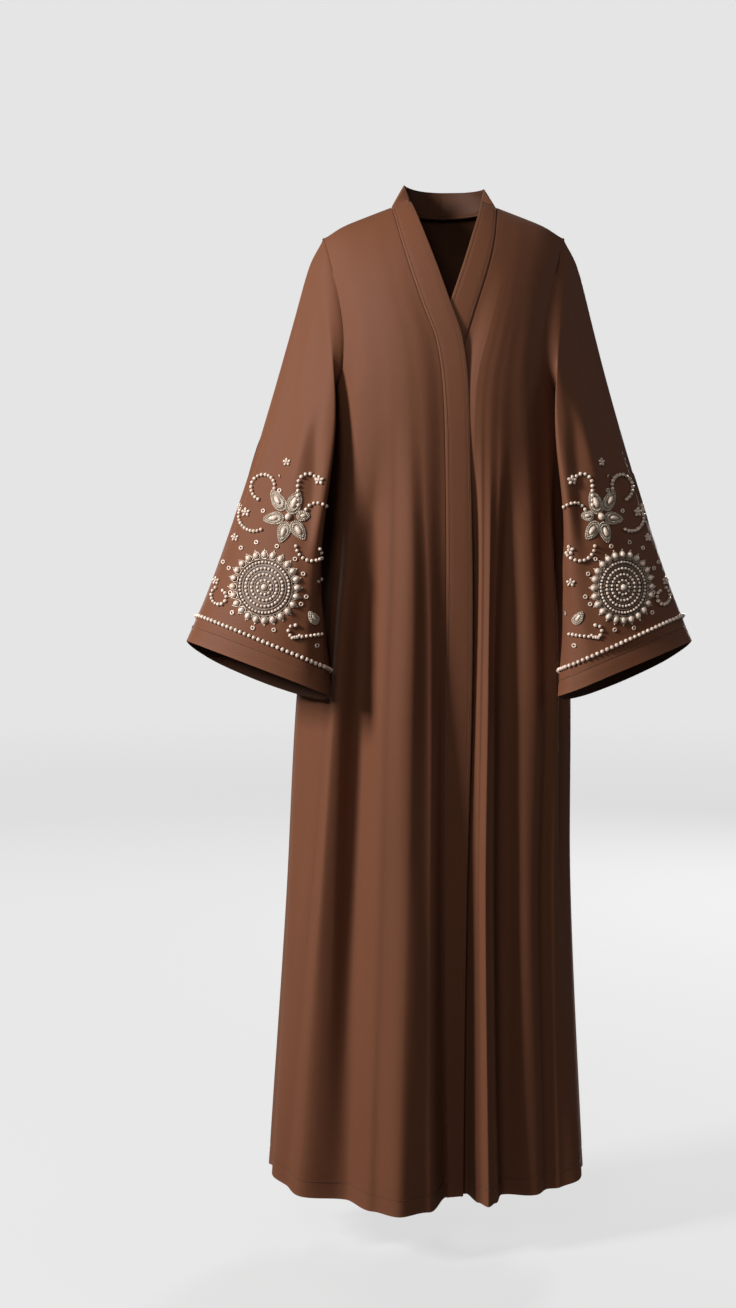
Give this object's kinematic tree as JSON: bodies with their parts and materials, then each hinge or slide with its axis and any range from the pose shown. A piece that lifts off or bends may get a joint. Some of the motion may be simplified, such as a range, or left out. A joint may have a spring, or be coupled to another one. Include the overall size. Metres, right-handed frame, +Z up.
{
  "type": "open-front abaya, filled out as worn, with no wearer",
  "caption": "Long open-front robe with wide sleeves, a band round the neck and down the front, soft lengthwise folds and beadwork near the cuffs.",
  "frame": {"origin": "where the wearer holds the garment up: midway between the shoulder seams' neck points", "axes": "+Z up, from the hem to the neck; -Y to the front; -X to the wearer's right"},
  "size_m": [0.7068, 0.2738, 1.4429],
  "materials": {
    "cloth": "matte crepe with a soft sheen",
    "band": "the same crepe, doubled and pressed",
    "beads": "ivory beads",
    "beadwork": "ivory and silver-grey beads"
  },
  "bodies": {
    "root": {"back": "cloth", "front_right": "cloth", "front_left": "cloth", "band_right": "band", "band_left": "band", "sleeve_right": "cloth", "sleeve_left": "cloth", "trim_right": "beads", "trim_left": "beads", "medallion_right": "beadwork", "medallion_left": "beadwork", "flower_right": "beadwork", "flower_left": "beadwork"}
  },
  "joints": []
}
